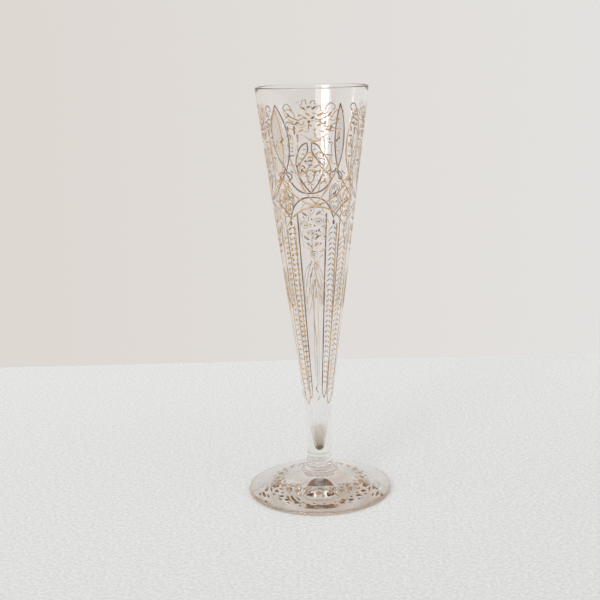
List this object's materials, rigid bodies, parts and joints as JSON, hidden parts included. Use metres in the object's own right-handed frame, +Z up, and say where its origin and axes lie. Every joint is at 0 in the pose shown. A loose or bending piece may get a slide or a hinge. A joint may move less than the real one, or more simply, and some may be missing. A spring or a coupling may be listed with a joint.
{
  "type": "champagne flute",
  "caption": "Slender clear glass champagne flute with a conical bowl, ringed collar, low domed foot and painted gilt ornament.",
  "frame": {"origin": "centre of the foot's underside, on the surface the flute stands on", "axes": "+Z up along the axis of revolution, towards the rim; -Y is the front, the panel with a shield that faces the viewer"},
  "size_m": [0.0712, 0.0712, 0.2],
  "materials": {
    "clear_glass": "clear hand-blown glass, fire-polished, with a faint dried residue at the bottom of the bowl",
    "gilding": "fired liquid gold, satin, rubbed thin in places"
  },
  "bodies": {
    "root": {"bowl": "clear_glass", "collar": "clear_glass", "foot_button": "clear_glass", "foot": "clear_glass", "gilt_lancet_frames": "gilding", "gilt_lancet_lattices": "gilding", "gilt_lancet_leaves": "gilding", "gilt_lancet_volutes": "gilding", "gilt_swags": "gilding", "gilt_arches": "gilding", "gilt_medallion_rings": "gilding", "gilt_medallion_rosettes": "gilding", "gilt_shields": "gilding", "gilt_shield_flowers": "gilding", "gilt_scrolls": "gilding", "gilt_bouquets": "gilding", "gilt_bouquet_ties": "gilding", "gilt_streamers": "gilding", "gilt_stems": "gilding", "gilt_column_lines": "gilding", "gilt_chevrons": "gilding", "gilt_column_drops": "gilding", "gilt_foot_beads": "gilding", "gilt_inner_seeds": "gilding", "gilt_outer_seeds": "gilding"}
  },
  "joints": []
}
